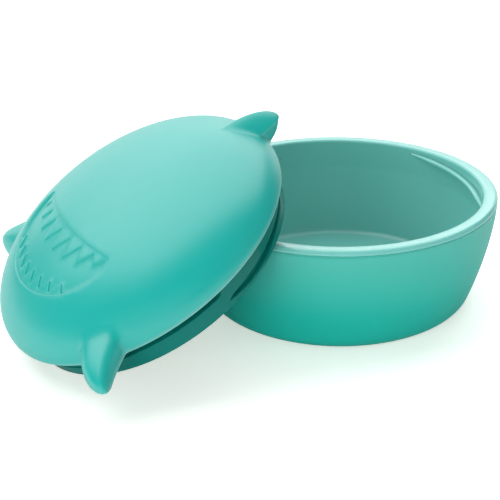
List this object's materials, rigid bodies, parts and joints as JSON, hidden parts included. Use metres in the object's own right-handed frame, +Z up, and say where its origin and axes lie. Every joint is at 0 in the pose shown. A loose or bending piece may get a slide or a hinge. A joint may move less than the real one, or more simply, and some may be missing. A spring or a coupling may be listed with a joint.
{
  "type": "toddler snack container",
  "caption": "Round snack bowl with a firm threaded liner, and a domed lid with moulded fins, a toothed mouth relief, a threaded plug and a sealing ring.",
  "frame": {"origin": "centre of the bowl's flat base, on the surface that the bowl stands on", "axes": "+Z up along the bowl's axis; the lid leans on the rim on the -X side, turned a little towards -Y"},
  "size_m": [0.2049, 0.1733, 0.0835],
  "materials": {
    "soft_shell": "matte soft-touch silicone",
    "firm_liner": "satin to gloss, slightly translucent",
    "soft_cover": "fine matte moulded plastic",
    "firm_plug": "satin moulded plastic",
    "seal": "matte silicone"
  },
  "bodies": {
    "bowl": {"bowl_shell": "soft_shell", "bowl_liner": "firm_liner"},
    "lid": {"lid_cover": "soft_cover", "lid_plug": "firm_plug", "seal_ring": "seal"}
  },
  "joints": [
    {"name": "lid_lift", "type": "slide", "parent": "bowl", "child": "lid", "axis": [0, 0, 1], "range_m": [0, 0.1]}
  ]
}
